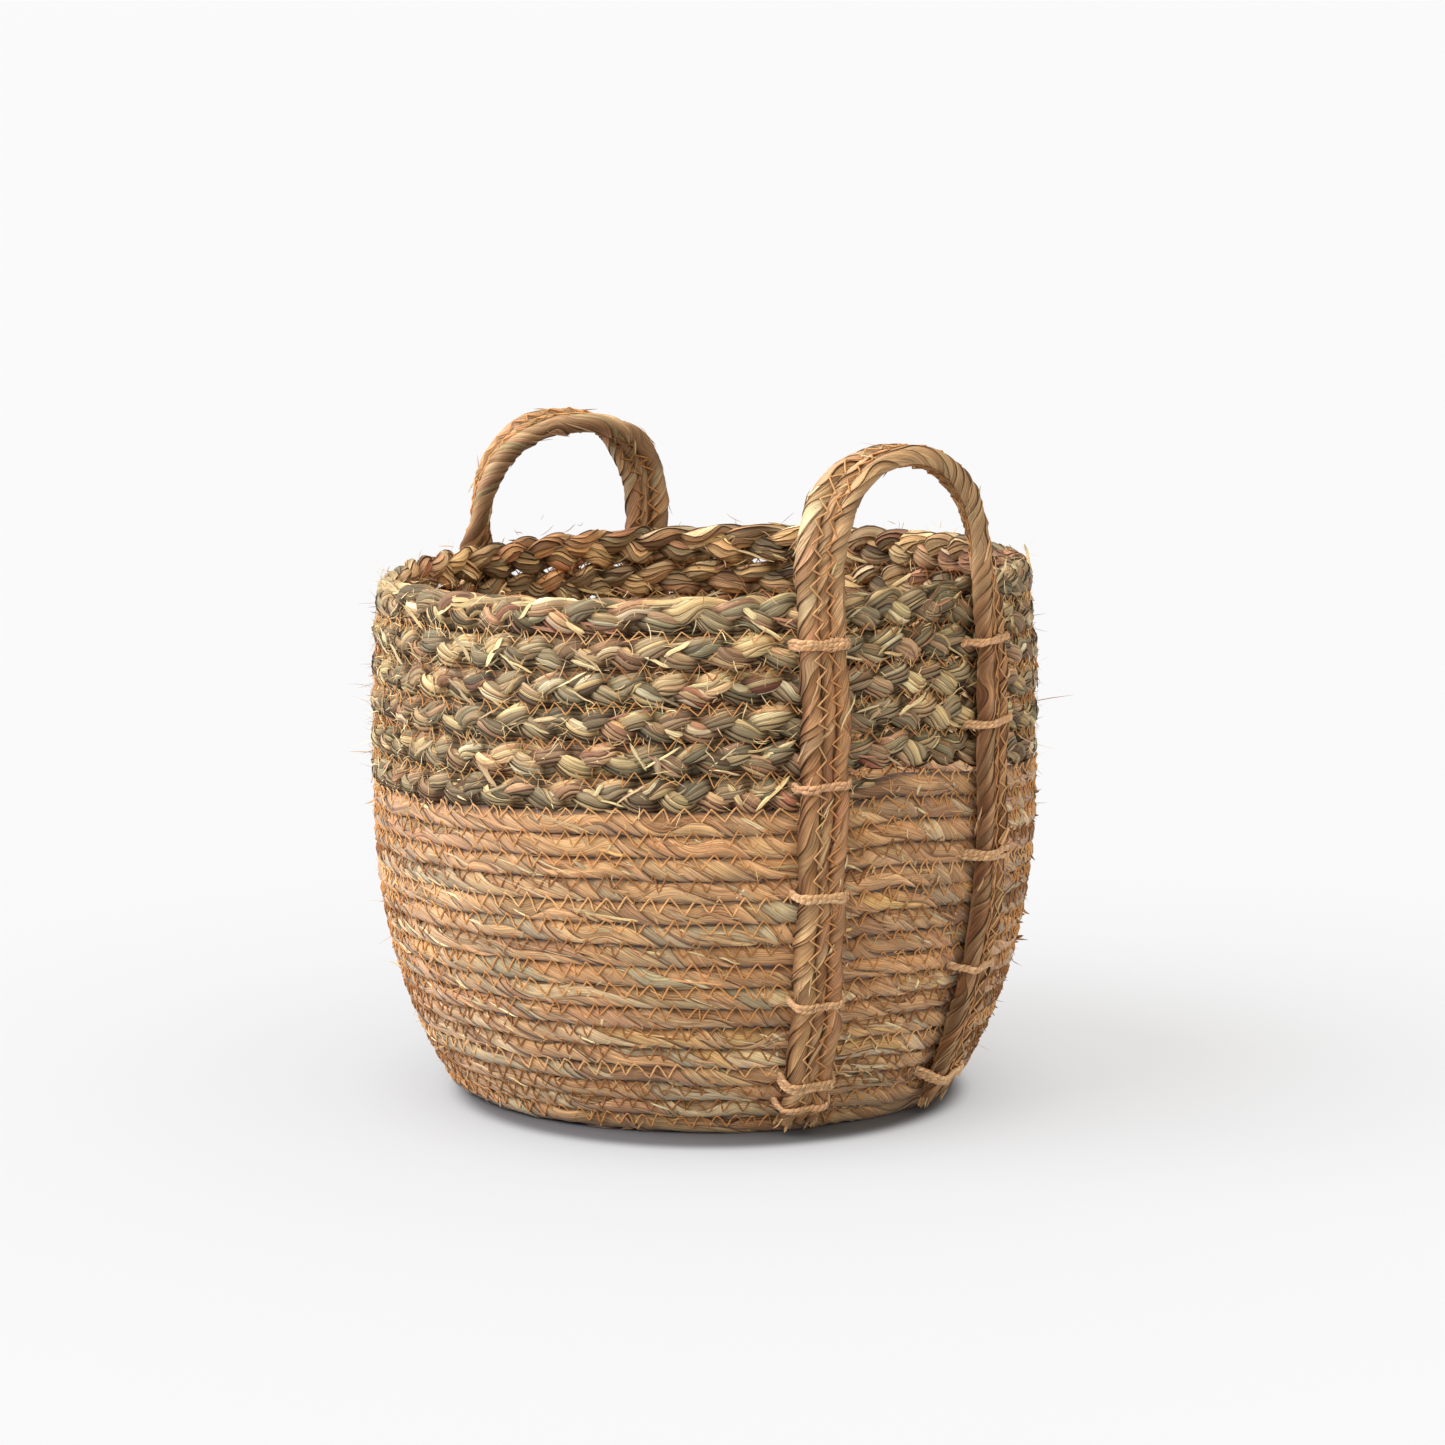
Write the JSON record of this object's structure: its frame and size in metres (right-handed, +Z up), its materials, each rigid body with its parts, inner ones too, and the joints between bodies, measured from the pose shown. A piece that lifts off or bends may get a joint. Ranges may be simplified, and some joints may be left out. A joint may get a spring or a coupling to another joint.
{
  "type": "storage basket",
  "caption": "Round coiled storage basket with a husk rope base and lower wall, a seagrass plait upper wall, and upright rope strap handles tied to the outside.",
  "frame": {"origin": "centre of the base, on the surface the basket stands on", "axes": "+Z up; +X through the middle of the front handle; the rear handle is 172 degrees round from it, towards +Y"},
  "size_m": [0.3036, 0.29, 0.2891],
  "materials": {
    "husk_rope": "dry tan wrapped corn husk rope, matt with a faint fibre sheen",
    "seagrass_plait": "mixed grey-green, straw and pinkish brown seagrass blades in a three-strand plait, matt",
    "sewing_thread": "ochre sewing thread, matt",
    "handle_cord": "twisted corn husk cord, light brown, matt with a faint fibre sheen",
    "lacing_thread": "ochre lacing thread, matt",
    "jute_twine": "hairy light brown jute twine, matt"
  },
  "bodies": {
    "basket": {"base_coil": "husk_rope", "husk_turn_01": "husk_rope", "husk_turn_02": "husk_rope", "husk_turn_03": "husk_rope", "husk_turn_04": "husk_rope", "husk_turn_05": "husk_rope", "husk_turn_06": "husk_rope", "husk_turn_07": "husk_rope", "husk_turn_08": "husk_rope", "husk_turn_09": "husk_rope", "husk_turn_10": "husk_rope", "husk_turn_11": "husk_rope", "husk_turn_12": "husk_rope", "husk_turn_13": "husk_rope", "husk_turn_14": "husk_rope", "husk_turn_15": "husk_rope", "husk_turn_16": "husk_rope", "plait_turn_1": "seagrass_plait", "plait_turn_2": "seagrass_plait", "plait_turn_3": "seagrass_plait", "plait_turn_4": "seagrass_plait", "plait_turn_5": "seagrass_plait", "plait_turn_6": "seagrass_plait", "base_seam_thread": "sewing_thread", "husk_seam_thread": "sewing_thread", "plait_seam_thread": "sewing_thread", "front_outer_cord_legs": "handle_cord", "front_middle_cord_legs": "handle_cord", "front_inner_cord_legs": "handle_cord", "rear_outer_cord_legs": "handle_cord", "rear_middle_cord_legs": "handle_cord", "rear_inner_cord_legs": "handle_cord", "front_leg_lacing": "lacing_thread", "rear_leg_lacing": "lacing_thread", "front_left_ties": "jute_twine", "front_right_ties": "jute_twine", "rear_left_ties": "jute_twine", "rear_right_ties": "jute_twine"},
    "front_handle_arch": {"front_outer_cord_arch": "handle_cord", "front_middle_cord_arch": "handle_cord", "front_inner_cord_arch": "handle_cord", "front_arch_lacing": "lacing_thread"},
    "rear_handle_arch": {"rear_outer_cord_arch": "handle_cord", "rear_middle_cord_arch": "handle_cord", "rear_inner_cord_arch": "handle_cord", "rear_arch_lacing": "lacing_thread"}
  },
  "joints": [
    {"name": "front_handle_flex", "type": "hinge", "parent": "basket", "child": "front_handle_arch", "pos_m": [0.137, 0, 0.2329], "axis": [0, -1, 0], "range_deg": [-35, 35], "stiffness_Nm_per_rad": 0.1},
    {"name": "rear_handle_flex", "type": "hinge", "parent": "basket", "child": "rear_handle_arch", "pos_m": [-0.1356, 0.0191, 0.2329], "axis": [0.1392, 0.9903, 0], "range_deg": [-35, 35], "stiffness_Nm_per_rad": 0.1}
  ]
}
